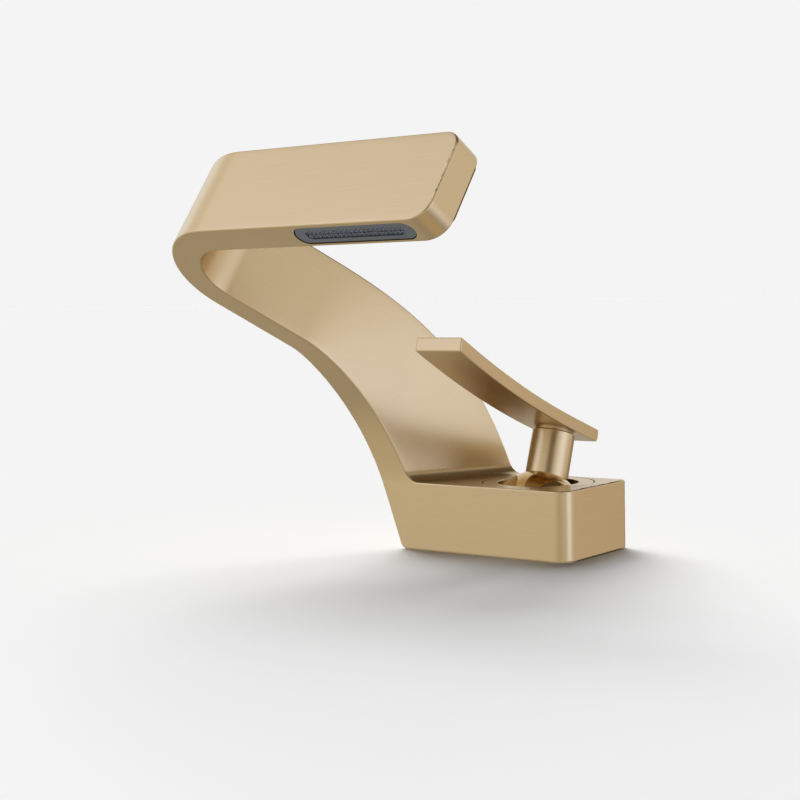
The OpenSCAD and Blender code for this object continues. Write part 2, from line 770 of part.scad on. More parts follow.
// Side outline of the lever: level over the post, then curving up to its tip
module lever_side() {
    rise = [for (i = [0:curve_steps])
        let (a = asin(lever_front / lever_curve_r) * i / curve_steps)
        [sin(a), 1 - cos(a)]];
    nose = lever_t / 4;
    lower = [for (p = rise) [-p[0] * lever_curve_r, p[1] * lever_curve_r]];
    upper = [for (p = rise)
        [-p[0] * (lever_curve_r - lever_t), lever_t + p[1] * (lever_curve_r - lever_t)]];
    back = [[lever_tail - nose, lever_t], [lever_tail, lever_t - nose], [lever_tail, nose],
        [lever_tail - nose, 0]];
    flip = [for (i = [curve_steps:-1:0]) upper[i]];
    polygon(concat(lower, flip, back));
}

module lever() {
    color(gold) handle_space() difference() {
        union() {
            translate([-lever_w / 2, 0, lever_base]) rotate([90, 0, 90])
                linear_extrude(lever_w) lever_side();
            translate([0, post_offset, post_top]) cylinder(r = neck_r, h = neck_h + over);
        }
        lever_stud_solid(seat_gap / 2, seat_gap);
    }
}

module outlet_frame() {
    back = screen_w - seat_gap;
    color(slate) difference() {
        outlet_solid(outlet_sink, frame_r, back - outlet_sink);
        outlet_solid(outlet_sink - over, strip_r, back - outlet_sink + over * 2);
    }
}

module jet_rows(w, depth, r) {
    pitch = outlet_half * 2 / (jet_count - 1);
    slab_space() for (row = [-1, 1]) for (i = [0:jet_count - 1])
        translate([outlet_x - outlet_half + pitch * i, w + depth, row * jet_row / 2])
            rotate([90, 0, 0]) cylinder(r = r, h = depth, $fn = 16);
}

module jet_strip() {
    color(rubber) difference() {
        union() {
            outlet_solid(strip_face, strip_r - seat_gap, strip_back - strip_face);
            jet_rows(outlet_sink + rim_w / 4, rim_w, jet_nose_r);
        }
        jet_rows(-over, strip_back + over * 2, jet_r);
    }
}

module flow_screen() {
    color(steel) difference() {
        outlet_solid(screen_w, frame_r, screen_t);
        jet_rows(screen_w - over, screen_t + over * 2, jet_nose_r);
    }
}

module outlet_gasket() {
    w = outlet_depth - gasket_t;
    color(rubber) difference() {
        outlet_solid(w, frame_r, gasket_t);
        outlet_solid(w - over, strip_r, gasket_t + over * 2);
    }
}

body();
base_seal();
trim_ring();
ring_seal();
lock_nut();
cartridge_housing();
cartridge_bottom();
port_seals();
fixed_disc();
limiter_ring();
rotor();
pivot_pin();
moving_disc();
disc_carrier();
spindle();
spindle_bush();
dome_cap();
dome_clip();
handle_post();
set_screw();
lever_stud();
lever();
outlet_frame();
jet_strip();
flow_screen();
outlet_gasket();
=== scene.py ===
"""Waterfall basin faucet with a ribbon spout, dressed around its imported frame.

Sizes in the classes are millimetres. A finished piece is scaled to metres in its mesh, and stands in the
frame of the part's source: X right, Y back, Z up, the origin in the middle of the block's underside.
"""

import json
import logging
import math
from collections.abc import Iterable, Sequence
from dataclasses import dataclass
from enum import Enum
from typing import TypeVar

import bmesh
import bpy
from bmesh.types import BMEdge, BMesh, BMVert
from bpy.types import Material, Mesh, Node, NodeSocket, NodeTree, Object
from mathutils import Matrix, Vector


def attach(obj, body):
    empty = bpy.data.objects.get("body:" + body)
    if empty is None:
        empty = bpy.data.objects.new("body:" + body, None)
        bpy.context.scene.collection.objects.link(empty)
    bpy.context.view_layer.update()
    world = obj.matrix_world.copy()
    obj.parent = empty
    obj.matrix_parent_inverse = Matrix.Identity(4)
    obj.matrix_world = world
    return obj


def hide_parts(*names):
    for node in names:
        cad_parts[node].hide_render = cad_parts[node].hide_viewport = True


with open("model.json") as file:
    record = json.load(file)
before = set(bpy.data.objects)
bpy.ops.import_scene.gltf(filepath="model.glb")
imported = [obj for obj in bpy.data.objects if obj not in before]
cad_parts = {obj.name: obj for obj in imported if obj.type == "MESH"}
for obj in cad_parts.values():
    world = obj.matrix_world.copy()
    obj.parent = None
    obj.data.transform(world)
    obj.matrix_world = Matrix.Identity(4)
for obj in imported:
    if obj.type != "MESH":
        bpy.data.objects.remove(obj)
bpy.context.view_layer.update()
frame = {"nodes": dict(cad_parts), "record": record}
LOG = logging.getLogger("faucet")
MM = 0.001
# Points that lie closer together than this are one point
WELD = 0.00001
# How far a cutting shape reaches past what it cuts
OVER = 1.0
# Play between parts that fit into each other
FIT = 0.05

Colour = tuple[float, float, float, float]
Place = tuple[float, float]
Section = tuple[Vector, Vector, Vector, Vector]
Mixed = TypeVar("Mixed", float, Vector)


# Small helpers


def linear(hex_code: str) -> Colour:
    """Turns an sRGB hex colour into a linear one.

    Args:
        hex_code: six hex digits after a hash.

    Returns:
        Red, green, blue and alpha.
    """
    parts = [int(hex_code[i : i + 2], 16) / 255 for i in (1, 3, 5)]
    red, green, blue = (p / 12.92 if p <= 0.04045 else ((p + 0.055) / 1.055) ** 2.4 for p in parts)
    return red, green, blue, 1.0


def dimmed(colour: Colour, share: float) -> Colour:
    """Returns a colour whose red, green and blue are times a share."""
    red, green, blue = (part * share for part in colour[:3])
    return red, green, blue, 1.0


def add_node(tree: NodeTree, kind: str, inputs: dict | None = None, **settings: object) -> Node:
    """Adds one node, sets its values and joins its inputs.

    Args:
        tree: the tree that gets the node.
        kind: Blender's name of the node type.
        inputs: input name or number to a value, or to the output socket that feeds it.
        settings: the node's own settings.

    Returns:
        The new node.
    """
    made = tree.nodes.new(kind)
    for name, value in settings.items():
        setattr(made, name, value)
    for name, value in (inputs or {}).items():
        if isinstance(value, NodeSocket):
            tree.links.new(value, made.inputs[name])
        else:
            made.inputs[name].default_value = value
    return made


def mix(a: Mixed, b: Mixed, share: float) -> Mixed:
    """Returns the point or number that lies the given share of the way from a to b."""
    return a * (1 - share) + b * share


# Finishes


@dataclass(frozen=True)
class Finish:
    """One real finish: its colour, its gloss and how far the gloss varies."""

    name: str
    colour: str
    roughness: float
    metallic: float = 0.0
    swing: float = 0.03

    def material(self) -> Material:
        """Makes this finish's material on its first use.

        Returns:
            The material.
        """
        ready = bpy.data.materials.get(self.name)
        if ready:
            return ready
        made = bpy.data.materials.new(self.name)
        made.use_nodes = True
        tree = made.node_tree
        tree.nodes.clear()
        look = {"Base Color": linear(self.colour), "Roughness": self.roughness, "Metallic": self.metallic}
        shader = add_node(tree, "ShaderNodeBsdfPrincipled", look)
        add_node(tree, "ShaderNodeOutputMaterial", {"Surface": shader.outputs["BSDF"]})
        self.surface(tree, shader)
        return made

    def gloss_span(self) -> dict[str, float]:
        """Returns the least and the greatest roughness, as a Map Range node takes them."""
        return {"To Min": self.roughness - self.swing, "To Max": self.roughness + self.swing}

    def surface(self, tree: NodeTree, shader: Node) -> None:
        """Adds to the material's tree and its principled shader what the making leaves on the surface."""


@dataclass(frozen=True)
class BrushedGold(Finish):
    """Brass, brushed to a satin and coated pale gold: fine streaks and soft wide highlights."""

    grain_mm: float = 0.35
    streak_mm: float = 24.0
    clouds_per_metre: float = 33.0
    tints: Place = (0.92, 1.06)
    relief: float = 0.03
    relief_mm: float = 0.02

    def surface(self, tree: NodeTree, shader: Node) -> None:
        """Adds the brushed grain to colour, gloss and relief.

        Args:
            tree: the material's tree.
            shader: its principled shader.
        """
        source = add_node(tree, "ShaderNodeTexCoord")
        # The real grain is about 0.05 mm across. It is drawn coarser here, as it wouldn't show.
        across, along = 1 / (self.grain_mm * MM), 1 / (self.streak_mm * MM)
        place = {"Vector": source.outputs["UV"], "Scale": (along, across, across)}
        stretch = add_node(tree, "ShaderNodeMapping", place).outputs["Vector"]
        streaks = {"Vector": stretch, "Scale": 1.0, "Detail": 2.0, "Roughness": 0.5}
        grain = add_node(tree, "ShaderNodeTexNoise", streaks).outputs["Fac"]
        # Slow variation of the coat
        coat = {"Vector": source.outputs["Object"], "Scale": self.clouds_per_metre, "Detail": 2.0}
        cloud = add_node(tree, "ShaderNodeTexNoise", coat).outputs["Fac"]
        dark, light = (dimmed(linear(self.colour), share) for share in self.tints)
        tint = add_node(tree, "ShaderNodeMix", {"Factor": grain, 6: dark, 7: light}, data_type="RGBA")
        tree.links.new(tint.outputs[2], shader.inputs["Base Color"])
        both = add_node(tree, "ShaderNodeMath", {0: grain, 1: cloud}, operation="ADD").outputs[0]
        # The sum of the two patterns hardly leaves this range
        span = {"Value": both, "From Min": 0.5, "From Max": 1.5, **self.gloss_span()}
        gloss = add_node(tree, "ShaderNodeMapRange", span)
        tree.links.new(gloss.outputs["Result"], shader.inputs["Roughness"])
        raised = {"Height": grain, "Strength": self.relief, "Distance": self.relief_mm * MM}
        relief = add_node(tree, "ShaderNodeBump", raised)
        tree.links.new(relief.outputs["Normal"], shader.inputs["Normal"])


@dataclass(frozen=True)
class Grained(Finish):
    """An even colour with a fine grain in its gloss, and in its relief where that is over 0.

    Moulded plastic and rubber look soft from the mould's eroded grain. Turned or polished metal and ceramic
    look clean, and their gloss shifts with the tool's faint marks.
    """

    grain_mm: float = 0.3
    detail: float = 2.0
    relief: float = 0.1
    relief_mm: float = 0.03

    def surface(self, tree: NodeTree, shader: Node) -> None:
        """Adds the grain to gloss and relief.

        Args:
            tree: the material's tree.
            shader: its principled shader.
        """
        place = add_node(tree, "ShaderNodeTexCoord").outputs["Object"]
        spots = {"Vector": place, "Scale": 1 / (self.grain_mm * MM), "Detail": self.detail}
        grain = add_node(tree, "ShaderNodeTexNoise", spots).outputs["Fac"]
        gloss = add_node(tree, "ShaderNodeMapRange", {"Value": grain, **self.gloss_span()})
        tree.links.new(gloss.outputs["Result"], shader.inputs["Roughness"])
        if self.relief:
            raised = {"Height": grain, "Strength": self.relief, "Distance": self.relief_mm * MM}
            relief = add_node(tree, "ShaderNodeBump", raised)
            tree.links.new(relief.outputs["Normal"], shader.inputs["Normal"])


def moulded(name: str, colour: str, roughness: float) -> Grained:
    """Returns the finish of a moulded plastic or rubber."""
    return Grained(name, colour, roughness, swing=0.06)


def turned(
    name: str, colour: str, roughness: float, metallic: float = 1.0, swing: float = 0.03, mark: float = 0.25
) -> Grained:
    """Returns the finish of a turned or polished metal or ceramic, with marks of a width in millimetres."""
    return Grained(name, colour, roughness, metallic, swing, grain_mm=mark, detail=1.0, relief=0.0)


class Slot(Enum):
    """The record's material slots and the finish of each."""

    satin_gold = BrushedGold("brushed_brass_pale_gold", "#CDB48A", 0.3, metallic=1.0)
    polished_gold = turned("polished_brass_gold", "#C7A56A", 0.05, swing=0.02, mark=0.4)
    raw_brass = turned("turned_brass", "#B9A05A", 0.32)
    stainless = turned("turned_stainless_steel", "#C3C5C8", 0.28)
    black_rubber = moulded("moulded_nitrile_rubber", "#1C1C1E", 0.62)
    grey_silicone = moulded("moulded_silicone", "#787D84", 0.4)
    grey_plastic = moulded("moulded_acetal_grey", "#5C6066", 0.4)
    pale_plastic = moulded("moulded_acetal_white", "#DDDDD6", 0.45)
    red_plastic = moulded("moulded_acetal_red", "#BE2A24", 0.45)
    white_ceramic = turned("lapped_alumina", "#EFEDE4", 0.2, metallic=0.0)


# Mesh helpers


def ring_edges(bm: BMesh, ring: Sequence[BMVert]) -> list[BMEdge]:
    """Returns the edges of a closed ring of vertices, made where they are missing."""
    pairs = [(ring[i], ring[(i + 1) % len(ring)]) for i in range(len(ring))]
    return [bm.edges.get(pair) or bm.edges.new(pair) for pair in pairs]


def sweep(sections: Sequence[Sequence[Vector]], caps: bool = True) -> tuple[BMesh, list[list[BMVert]]]:
    """Extrudes a closed ring through its sections.

    Args:
        sections: closed rings of points, all with the same count.
        caps: whether both ends are closed.

    Returns:
        The shape and its rings of vertices, one for each section.
    """
    bm = bmesh.new()
    ring = [bm.verts.new(point) for point in sections[0]]
    rings = [ring]
    edges = ring_edges(bm, ring)
    if caps:
        bmesh.ops.contextual_create(bm, geom=edges)
    for points in sections[1:]:
        grown = bmesh.ops.extrude_edge_only(bm, edges=edges)["geom"]
        fresh = {v for v in grown if isinstance(v, BMVert)}
        after = []
        for old, point in zip(ring, points):
            twin = next(e.other_vert(old) for e in old.link_edges if e.other_vert(old) in fresh)
            twin.co = point
            after.append(twin)
        ring = after
        rings.append(ring)
        edges = ring_edges(bm, ring)
    if caps:
        bmesh.ops.contextual_create(bm, geom=edges)
    bm.normal_update()
    return bm, rings


def lay_swept(bm: BMesh, rings: Sequence[Sequence[BMVert]]) -> None:
    """Gives a swept shape a UV map in metres: U along the sweep, V round its section.

    Args:
        bm: the shape, in millimetres.
        rings: its rings of vertices.
    """
    layer = bm.loops.layers.uv.new("grain")
    count = len(rings[0])
    runs = [0.0] * count
    # Each vertex's number in its ring, run along the sweep, run round the ring and its ring's length
    place: dict[BMVert, tuple[int, float, float, float]] = {}
    for k, ring in enumerate(rings):
        if k:
            runs = [run + (a.co - b.co).length for run, a, b in zip(runs, ring, rings[k - 1])]
        round_it = [0.0]
        for i in range(count):
            round_it.append(round_it[-1] + (ring[(i + 1) % count].co - ring[i].co).length)
        for i, vert in enumerate(ring):
            place[vert] = (i, runs[i], round_it[i], round_it[-1])
    for face in bm.faces:
        is_cap = count != 4 and len(face.verts) == count
        if is_cap or len({round(place[v][1], 6) for v in face.verts}) == 1:
            first = next(v for v in face.verts if place[v][0] == 0)
            other = next(v for v in face.verts if place[v][0] == count // 2 - 1)
            along = (other.co - first.co).normalized()
            across = face.normal.cross(along)
            for loop in face.loops:
                step = loop.vert.co - first.co
                loop[layer].uv = (step.dot(along) * MM, step.dot(across) * MM)
            continue
        closing = {place[v][0] for v in face.verts} == {0, count - 1}
        for loop in face.loops:
            i, run, turned, whole = place[loop.vert]
            loop[layer].uv = (run * MM, (whole if closing and i == 0 else turned) * MM)


def lay_turned(bm: BMesh) -> None:
    """Gives a turned shape a UV map in metres: U round the Z axis, V up and outwards.

    Args:
        bm: the shape, in millimetres.
    """
    layer = bm.loops.layers.uv.new("grain")
    for face in bm.faces:
        middle = face.calc_center_median()
        facing = math.atan2(middle.y, middle.x)
        for loop in face.loops:
            x, y, z = loop.vert.co
            turn = math.atan2(y, x)
            turn += math.tau * round((facing - turn) / math.tau)
            radius = math.hypot(x, y)
            loop[layer].uv = (turn * radius * MM, (z + radius) * MM)


def lathe(profile: Sequence[Place], steps: int = 96) -> BMesh:
    """Spins a closed profile about Z.

    Args:
        profile: radius and height of each point. A profile that starts and ends on the axis closes there.
        steps: how many steps a full turn has.

    Returns:
        The closed solid.
    """
    bm = bmesh.new()
    chain = [bm.verts.new((r, 0.0, z)) for r, z in profile]
    pairs = list(zip(chain, chain[1:]))
    if profile[0][0] > WELD or profile[-1][0] > WELD:
        pairs.append((chain[-1], chain[0]))
    edges = [bm.edges.new(pair) for pair in pairs]
    full_turn = {"cent": (0, 0, 0), "axis": (0, 0, 1), "dvec": (0, 0, 0), "angle": math.tau}
    bmesh.ops.spin(bm, geom=chain + edges, steps=steps, use_merge=True, use_duplicate=False, **full_turn)
    bmesh.ops.remove_doubles(bm, verts=bm.verts, dist=WELD)
    bmesh.ops.recalc_face_normals(bm, faces=bm.faces)
    lay_turned(bm)
    return bm


def stacked(foot: float, *levels: Place) -> list[Place]:
    """Works out the profile of a solid of round steps on one axis.

    Args:
        foot: height of its foot.
        levels: radius and top of each step, from the foot up.

    Returns:
        Radius and height of each corner, from the axis at the foot to the axis at the top.
    """
    profile = [(0.0, foot)]
    for radius, top in levels:
        profile += [(radius, foot), (radius, top)]
        foot = top
    return [*profile, (0.0, foot)]


def arc(radius: float, start: float, end: float, steps: int) -> list[Place]:
    """Returns radius and height of points on an arc about the origin, given by its angles from the Z axis."""
    turns = [mix(start, end, k / steps) for k in range(steps + 1)]
    return [(radius * math.sin(turn), radius * math.cos(turn)) for turn in turns]


def rounded(profile: Sequence[Place], radii: Sequence[float], steps: int = 4) -> list[Place]:
    """Rounds the corners of a flat outline.

    Args:
        profile: the outline's corners.
        radii: the rounding of each corner, 0 to keep it sharp.
        steps: how many steps each rounding has.

    Returns:
        The outline with its rounded corners.
    """
    out: list[Place] = []
    count = len(profile)
    for i, radius in enumerate(radii):
        here = Vector(profile[i])
        if radius <= 0:
            out.append(tuple(here))
            continue
        before = (Vector(profile[(i - 1) % count]) - here).normalized()
        after = (Vector(profile[(i + 1) % count]) - here).normalized()
        half = before.angle(after) / 2
        run = radius / math.tan(half)
        middle = here + (before + after).normalized() * (radius / math.sin(half))
        start, end = here + before * run - middle, here + after * run - middle
        for k in range(steps + 1):
            turn = start.slerp(end, k / steps)
            out.append(tuple(middle + turn.normalized() * radius))
    return out


def bevel(bm: BMesh, edges: Sequence[BMEdge], radius: float, steps: int = 3) -> None:
    """Rounds edges of a shape, over a radius and in a number of steps."""
    kept = {"offset_type": "OFFSET", "profile": 0.5, "affect": "EDGES", "material": -1}
    bmesh.ops.bevel(bm, geom=edges, offset=radius, segments=steps, clamp_overlap=False, **kept)


def moved(bm: BMesh, offset: Sequence[float]) -> BMesh:
    """Moves a shape and returns it."""
    bmesh.ops.translate(bm, vec=Vector(offset), verts=bm.verts)
    return bm


def mesh_object(bm: BMesh, name: str) -> Object:
    """Makes an object of a mesh that was drawn in millimetres.

    Args:
        bm: the mesh, which is freed.
        name: the object's name.

    Returns:
        The object, at the origin.
    """
    bmesh.ops.scale(bm, vec=(MM,) * 3, verts=bm.verts)
    mesh = bpy.data.meshes.new(name)
    bm.to_mesh(mesh)
    bm.free()
    made = bpy.data.objects.new(name, mesh)
    bpy.context.scene.collection.objects.link(made)
    return made


def carve(target: Object, shapes: Iterable[BMesh], operation: str = "DIFFERENCE") -> None:
    """Cuts shapes out of a piece or joins them to it, one after the other.

    Args:
        target: the piece.
        shapes: closed shapes in millimetres, which are used up.
        operation: DIFFERENCE to cut, UNION to join.
    """
    for number, shape in enumerate(shapes):
        bmesh.ops.recalc_face_normals(shape, faces=shape.faces)
        cutter = mesh_object(shape, f"cutter_{number}")
        step = target.modifiers.new("carve", "BOOLEAN")
        step.operation = operation
        step.solver = "EXACT"
        step.object = cutter
        ready = target.evaluated_get(bpy.context.evaluated_depsgraph_get())
        old = target.data
        mesh = bpy.data.meshes.new_from_object(ready)
        target.modifiers.clear()
        target.data = mesh
        bpy.data.meshes.remove(old)
        bpy.data.objects.remove(cutter)


def dress(piece: Object, body: str, slot: Slot, replaces: str, crease_angle: float = 38.0) -> Object:
    """Gives a piece its finish, its shading and its place in the frame.

    Args:
        piece: the piece.
        body: the body it rides on.
        slot: the record's slot.
        replaces: the CAD node that it stands for.
        crease_angle: edges turned by more degrees than this stay sharp.

    Returns:
        The piece.
    """
    mesh = piece.data
    mesh.materials.clear()
    mesh.materials.append(slot.value.material())
    bm = bmesh.new()
    bm.from_mesh(mesh)
    limit = math.radians(crease_angle)
    for face in bm.faces:
        face.smooth = True
        face.material_index = 0
    for edge in bm.edges:
        edge.smooth = len(edge.link_faces) == 2 and edge.calc_face_angle(0.0) < limit
    bm.to_mesh(mesh)
    bm.free()
    shading = piece.modifiers.new("shading", "WEIGHTED_NORMAL")
    shading.keep_sharp = True
    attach(piece, body)
    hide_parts(replaces)
    return piece


# Casting: block and ribbon spout


def section(front: Vector, back: Vector, step: Vector, step_back: Vector | None = None) -> Section:
    """Works out the corners of one of the ribbon's sections.

    Args:
        front: the front rail, in mid thickness.
        back: the back rail.
        step: the step from the outer to the inner face.
        step_back: the same at the back rail, where it differs.

    Returns:
        Outer front, outer back, inner back and inner front corner.
    """
    half = step / 2
    half_back = half if step_back is None else step_back / 2
    return front - half, back - half_back, back + half_back, front + half


@dataclass
class Casting:
    """The one brass casting: a block whose left end rises, twists and folds back as the ribbon spout."""

    base_l: float = 79.2
    base_d: float = 48.0
    base_h: float = 28.0
    base_corner_r: float = 6.0
    base_back_r: float = 2.5
    ribbon_t: float = 12.2
    ribbon_w: float = 39.2
    slab_tilt: float = 53.2
    spout_reach: float = 108.3
    spout_height: float = 126.1
    slab_l: float = 104.4
    bend_r: float = 18.0
    arm_angle: float = 60.0
    arm_l: float = 35.7
    end_front_r: float = 8.5
    end_back_r: float = 7.0
    end_splay: float = 1.8
    edge_r: float = 0.8
    foot_t: float = 14.1
    foot_sweep: float = 20.9
    foot_lean: float = 0.36
    foot_rise: float = 24.3
    foot_corner_r: float = 3.0
    crease_r: float = 6.5
    pull_foot_front: float = 97.0
    pull_foot_back: float = 150.0
    pull_arm_front: float = 34.0
    pull_arm_back: float = 118.0
    junction_x: float = -26.0
    cart_x: float = 12.1
    seat_z: float = 8.5
    bay_r: float = 12.55
    flange_z: float = 15.0
    flange_r: float = 14.9
    nut_z: float = 19.6
    nut_r: float = 19.66
    ring_z: float = 25.8
    ring_r: float = 22.9
    inlet_x: float = 7.0
    inlet_y: float = 4.5
    inlet_r: float = 4.5
    inlet_depth: float = 7.0
    stud_y: float = -13.2
    stud_r: float = 3.4
    stud_depth: float = 6.4
    drill_tip_share: float = 0.3
    seal_y: float = -1.55
    seal_in_r: float = 17.6
    seal_out_r: float = 20.0
    seal_depth: float = 1.5
    columns: int = 12
    end_steps: int = 12
    slab_steps: int = 4
    bend_steps: int = 30
    twist_steps: int = 40
    crease_steps: int = 10
    side_steps: int = 4
    foot_steps: int = 8
    block_steps: int = 3
    halvings: int = 40

    def __post_init__(self) -> None:
        """Works out the ribbon's directions and fixed places."""
        tilt = math.radians(self.slab_tilt)
        self.across = Vector((0, math.cos(tilt), math.sin(tilt)))
        self.through = Vector((0, -math.sin(tilt), math.cos(tilt)))
        self.slab_corner = Vector((0, -self.spout_reach, self.spout_height))
        self.slab_end = self.base_l / 2
        self.bend_mid_r = self.bend_r + self.ribbon_t / 2
        self.bend_x = self.slab_end - self.slab_l
        self.bend_mid = self.slab_corner + Vector((self.bend_x, 0, 0)) - self.through * self.bend_mid_r
        self.bend_turn = math.radians(180 - self.arm_angle)
        lean = math.radians(self.arm_angle)
        self.arm_way = Vector((math.cos(lean), 0, 0)) - self.through * math.sin(lean)
        self.arm_end = self.arm_rails(self.arm_l)
        self.foot_way = Vector((self.foot_lean, 0, -1))
        self.foot_front = Vector((-self.base_l / 2 + self.foot_t / 2, -self.base_d / 2, 0))
        self.foot_back = self.foot_front + Vector((self.foot_sweep, self.base_d, 0))

    def bend_rails(self, turn: float) -> tuple[Vector, Vector, Vector]:
        """Works out one place of the bend.

        Args:
            turn: the turn from the slab, in radians.

        Returns:
            Front rail, back rail and the step through the ribbon.
        """
        out = self.through * math.cos(turn) - Vector((math.sin(turn), 0, 0))
        front = self.bend_mid + out * self.bend_mid_r
        return front, front + self.across * self.ribbon_w, out * -self.ribbon_t

    def arm_rails(self, run: float) -> tuple[Vector, Vector, Vector]:
        """Returns front rail, back rail and the step through the ribbon at a run down the arm."""
        front, back, step = self.bend_rails(self.bend_turn)
        return front + self.arm_way * run, back + self.arm_way * run, step

    def twist_rail(self, share: float, back: bool) -> tuple[Vector, Vector]:
        """Works out a point on one rail of the twist between arm and foot.

        Args:
            share: 0 at the arm, 1 at the foot.
            back: whether it is the back rail.

        Returns:
            The point on the rail and the step through the ribbon.
        """
        start = self.arm_end[1 if back else 0]
        end = (self.foot_back if back else self.foot_front) - self.foot_way * self.foot_rise
        pull_start = self.arm_way * (self.pull_arm_back if back else self.pull_arm_front)
        pull_end = self.foot_way * (self.pull_foot_back if back else self.pull_foot_front)
        s = share
        # A cubic between both ends, with the pull of each
        point = (
            start * (2 * s**3 - 3 * s**2 + 1)
            + pull_start * (s**3 - 2 * s**2 + s)
            + end * (3 * s**2 - 2 * s**3)
            + pull_end * (s**3 - s**2)
        )
        eased = math.sqrt(s)
        eased = eased * eased * (3 - 2 * eased)
        return point, mix(self.arm_end[2], Vector((self.foot_t, 0, 0)), eased)

    def share_at_height(self, height: float, back: bool) -> float:
        """Finds where a rail of the twist has come down to a height, in its lower half.

        Args:
            height: the height above the block's underside.
            back: whether it is the back rail.

        Returns:
            The share of the twist.
        """
        low, high = 0.5, 1.0
        for _ in range(self.halvings):
            middle = (low + high) / 2
            if self.twist_rail(middle, back)[0].z > height:
                low = middle
            else:
                high = middle
        return high

    def side_y(self, height: float, back: bool) -> float:
        """Works out where the foot's front or back side stands.

        Args:
            height: the height above the block's underside.
            back: whether it is the back side.

        Returns:
            Its Y.
        """
        if height <= self.foot_rise:
            return (self.foot_back if back else self.foot_front).y
        return self.twist_rail(self.share_at_height(height, back), back)[0].y

    def quarter(self) -> list[Place]:
        """Returns how far in from a square corner a corner rounded by 1 lies, along both its sides."""
        turns = [math.radians(90) * i / self.end_steps for i in range(self.end_steps + 1)]
        return [(1 - math.sin(turn), 1 - math.cos(turn)) for turn in turns]

    def corners(self) -> list[Section]:
        """Works out all sections, from the slab's free end to the block's right end.

        Returns:
            The corners of each section. Outer is the slab's upper face, which becomes the foot's left side
            and the block's underside.
        """
        end = self.slab_corner + Vector((self.slab_end + self.end_splay / 2, 0, 0))
        step = -self.through * self.ribbon_t
        rows = []
        for short, low in reversed(self.quarter()):
            front = end - Vector((self.end_front_r * short, 0, 0)) + self.across * self.end_front_r * low
            back = end - Vector((self.end_back_r * short, 0, 0))
            back += self.across * (self.ribbon_w - self.end_back_r * low)
            rows.append(section(front, back, step + Vector((self.end_splay, 0, 0))))
        right = end - Vector((self.end_front_r, 0, 0))
        left = self.slab_corner + Vector((self.bend_x, 0, 0))
        for i in range(1, self.slab_steps):
            front = mix(right, left, i / self.slab_steps)
            rows.append(section(front, front + self.across * self.ribbon_w, step))
        for i in range(self.bend_steps + 1):
            rows.append(section(*self.bend_rails(self.bend_turn * i / self.bend_steps)))
        rows.append(section(*self.arm_rails(self.arm_l / 2)))
        return [*rows, *self.twist_rows(), *self.foot_rows(), *self.block_rows()]

    def crease_top(self) -> tuple[float, float, float]:
        """Works out how the crease between foot and block turns.

        Returns:
            Its turn in radians, its run along the block and the height at which it ends.
        """
        turn = math.pi / 2 - math.atan(self.foot_lean)
        run = self.crease_r * math.tan(turn / 2)
        return turn, run, self.base_h + self.crease_r * (1 - math.cos(turn))

    def twist_rows(self) -> list[Section]:
        """Works out the sections from the arm down to the top of the crease.

        Returns:
            The corners of each section.
        """
        height = self.crease_top()[2]
        end_front, end_back = (self.share_at_height(height, back) for back in (False, True))
        rows = []
        for i in range(self.twist_steps):
            front, step = self.twist_rail(end_front * i / self.twist_steps, False)
            back, step_back = self.twist_rail(end_back * i / self.twist_steps, True)
            rows.append(section(front, back, step, step_back))
        return rows

    def foot_section(self, outer: Sequence[float], inner: Sequence[float]) -> Section:
        """Works out the corners of one section of the crease or the foot.

        Args:
            outer: X and Z of its outer front corner.
            inner: X and Z of its inner front corner.

        Returns:
            Outer front, outer back, inner back and inner front corner.
        """
        points = []
        for back, (x, z) in ((False, outer), (True, outer), (True, inner), (False, inner)):
            shift = self.foot_sweep if back else 0.0
            points.append(Vector((x + shift, self.side_y(z, back), z)))
        return tuple(points)

    def foot_rows(self) -> list[Section]:
        """Works out the sections round the crease and down the foot to the junction with the block.

        Returns:
            The corners of each section.
        """
        turn, run, _ = self.crease_top()
        left = -self.base_l / 2
        corner_x = left + self.foot_t - self.foot_lean * self.base_h + run
        rows = []
        for i in range(self.crease_steps + 1):
            angle = -math.pi / 2 - turn * (1 - i / self.crease_steps)
            z = self.base_h + self.crease_r * (1 + math.sin(angle))
            inner = (corner_x + self.crease_r * math.cos(angle), z)
            rows.append(self.foot_section((left - self.foot_lean * z, z), inner))
        start = (left - self.foot_lean * self.base_h, self.base_h)
        bend = [start, (left, 0.0), (self.junction_x, 0.0)]
        outline = rounded(bend, [0, self.foot_corner_r, 0], self.foot_steps)[1:]
        shares = [k / self.side_steps for k in range(1, self.side_steps)]
        outer = [mix(Vector(start), Vector(outline[0]), share) for share in shares] + outline
        for i, point in enumerate(outer):
            inner = (mix(corner_x, self.junction_x, (i + 1) / len(outer)), self.base_h)
            rows.append(self.foot_section(point, inner))
        return rows

    def block_section(self, front: Place, back: Place) -> Section:
        """Returns a section of the block, given X and Y of its front and of its back side."""
        low, high = ([Vector((*spot, z)) for spot in (front, back)] for z in (0.0, self.base_h))
        return low[0], low[1], high[1], high[0]

    def block_rows(self) -> list[Section]:
        """Works out the sections from the junction to the block's right end, with its two upright corners.

        Returns:
            The corners of each section.
        """
        half, right = self.base_d / 2, self.base_l / 2
        front_r, back_r = self.base_corner_r, self.base_back_r
        rows = []
        for i in range(1, self.block_steps):
            share = i / self.block_steps
            front = (mix(self.junction_x, right - front_r, share), -half)
            back = (mix(self.junction_x + self.foot_sweep, right - back_r, share), half)
            rows.append(self.block_section(front, back))
        for short, low in self.quarter():
            front = (right - front_r * short, front_r * low - half)
            back = (right - back_r * short, half - back_r * low)
            rows.append(self.block_section(front, back))
        return rows

